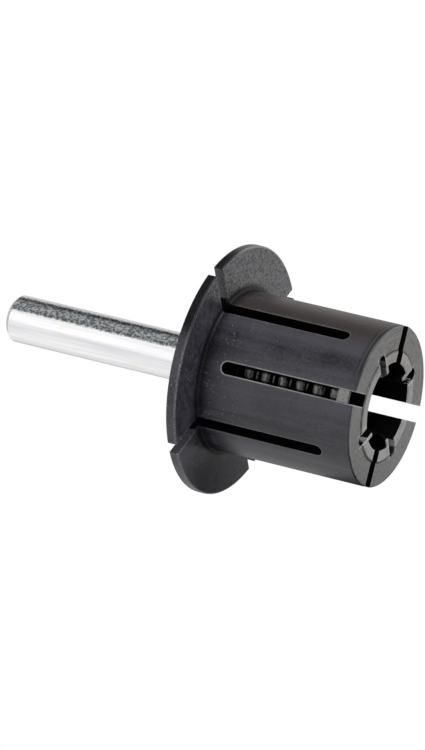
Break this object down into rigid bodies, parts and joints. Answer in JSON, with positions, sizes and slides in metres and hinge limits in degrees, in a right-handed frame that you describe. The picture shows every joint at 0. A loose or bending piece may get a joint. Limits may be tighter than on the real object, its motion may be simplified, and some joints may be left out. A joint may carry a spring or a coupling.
{
  "type": "abrasive wheel mandrel",
  "caption": "Steel shank with a slotted, flanged plastic sleeve that a sprung cone expands inside the bore of an abrasive wheel.",
  "frame": {"origin": "on the axis, in the plane of the front face that the part stands on", "axes": "+Z back along the shank from the front face, +Y through the split of the sleeve, -Y through its hinge side"},
  "size_m": [0.0418, 0.0418, 0.0701],
  "materials": {
    "shank_steel": "bright zinc-plated",
    "sleeve_plastic": "satin moulded",
    "ring_plastic": "satin moulded",
    "spring_steel": "drawn wire",
    "cone_plastic": "satin moulded"
  },
  "bodies": {
    "sleeve": {"expanding_sleeve": "sleeve_plastic", "retainer_ring": "ring_plastic", "spring": "spring_steel"},
    "plunger": {"shank": "shank_steel", "expander_cone": "cone_plastic"}
  },
  "joints": [
    {"name": "release_slide", "type": "slide", "parent": "sleeve", "child": "plunger", "axis": [0, 0, -1], "range_m": [0, 0.004], "stiffness_N_per_m": 9500, "springref_m": -0.005, "deforming": ["spring"]}
  ]
}
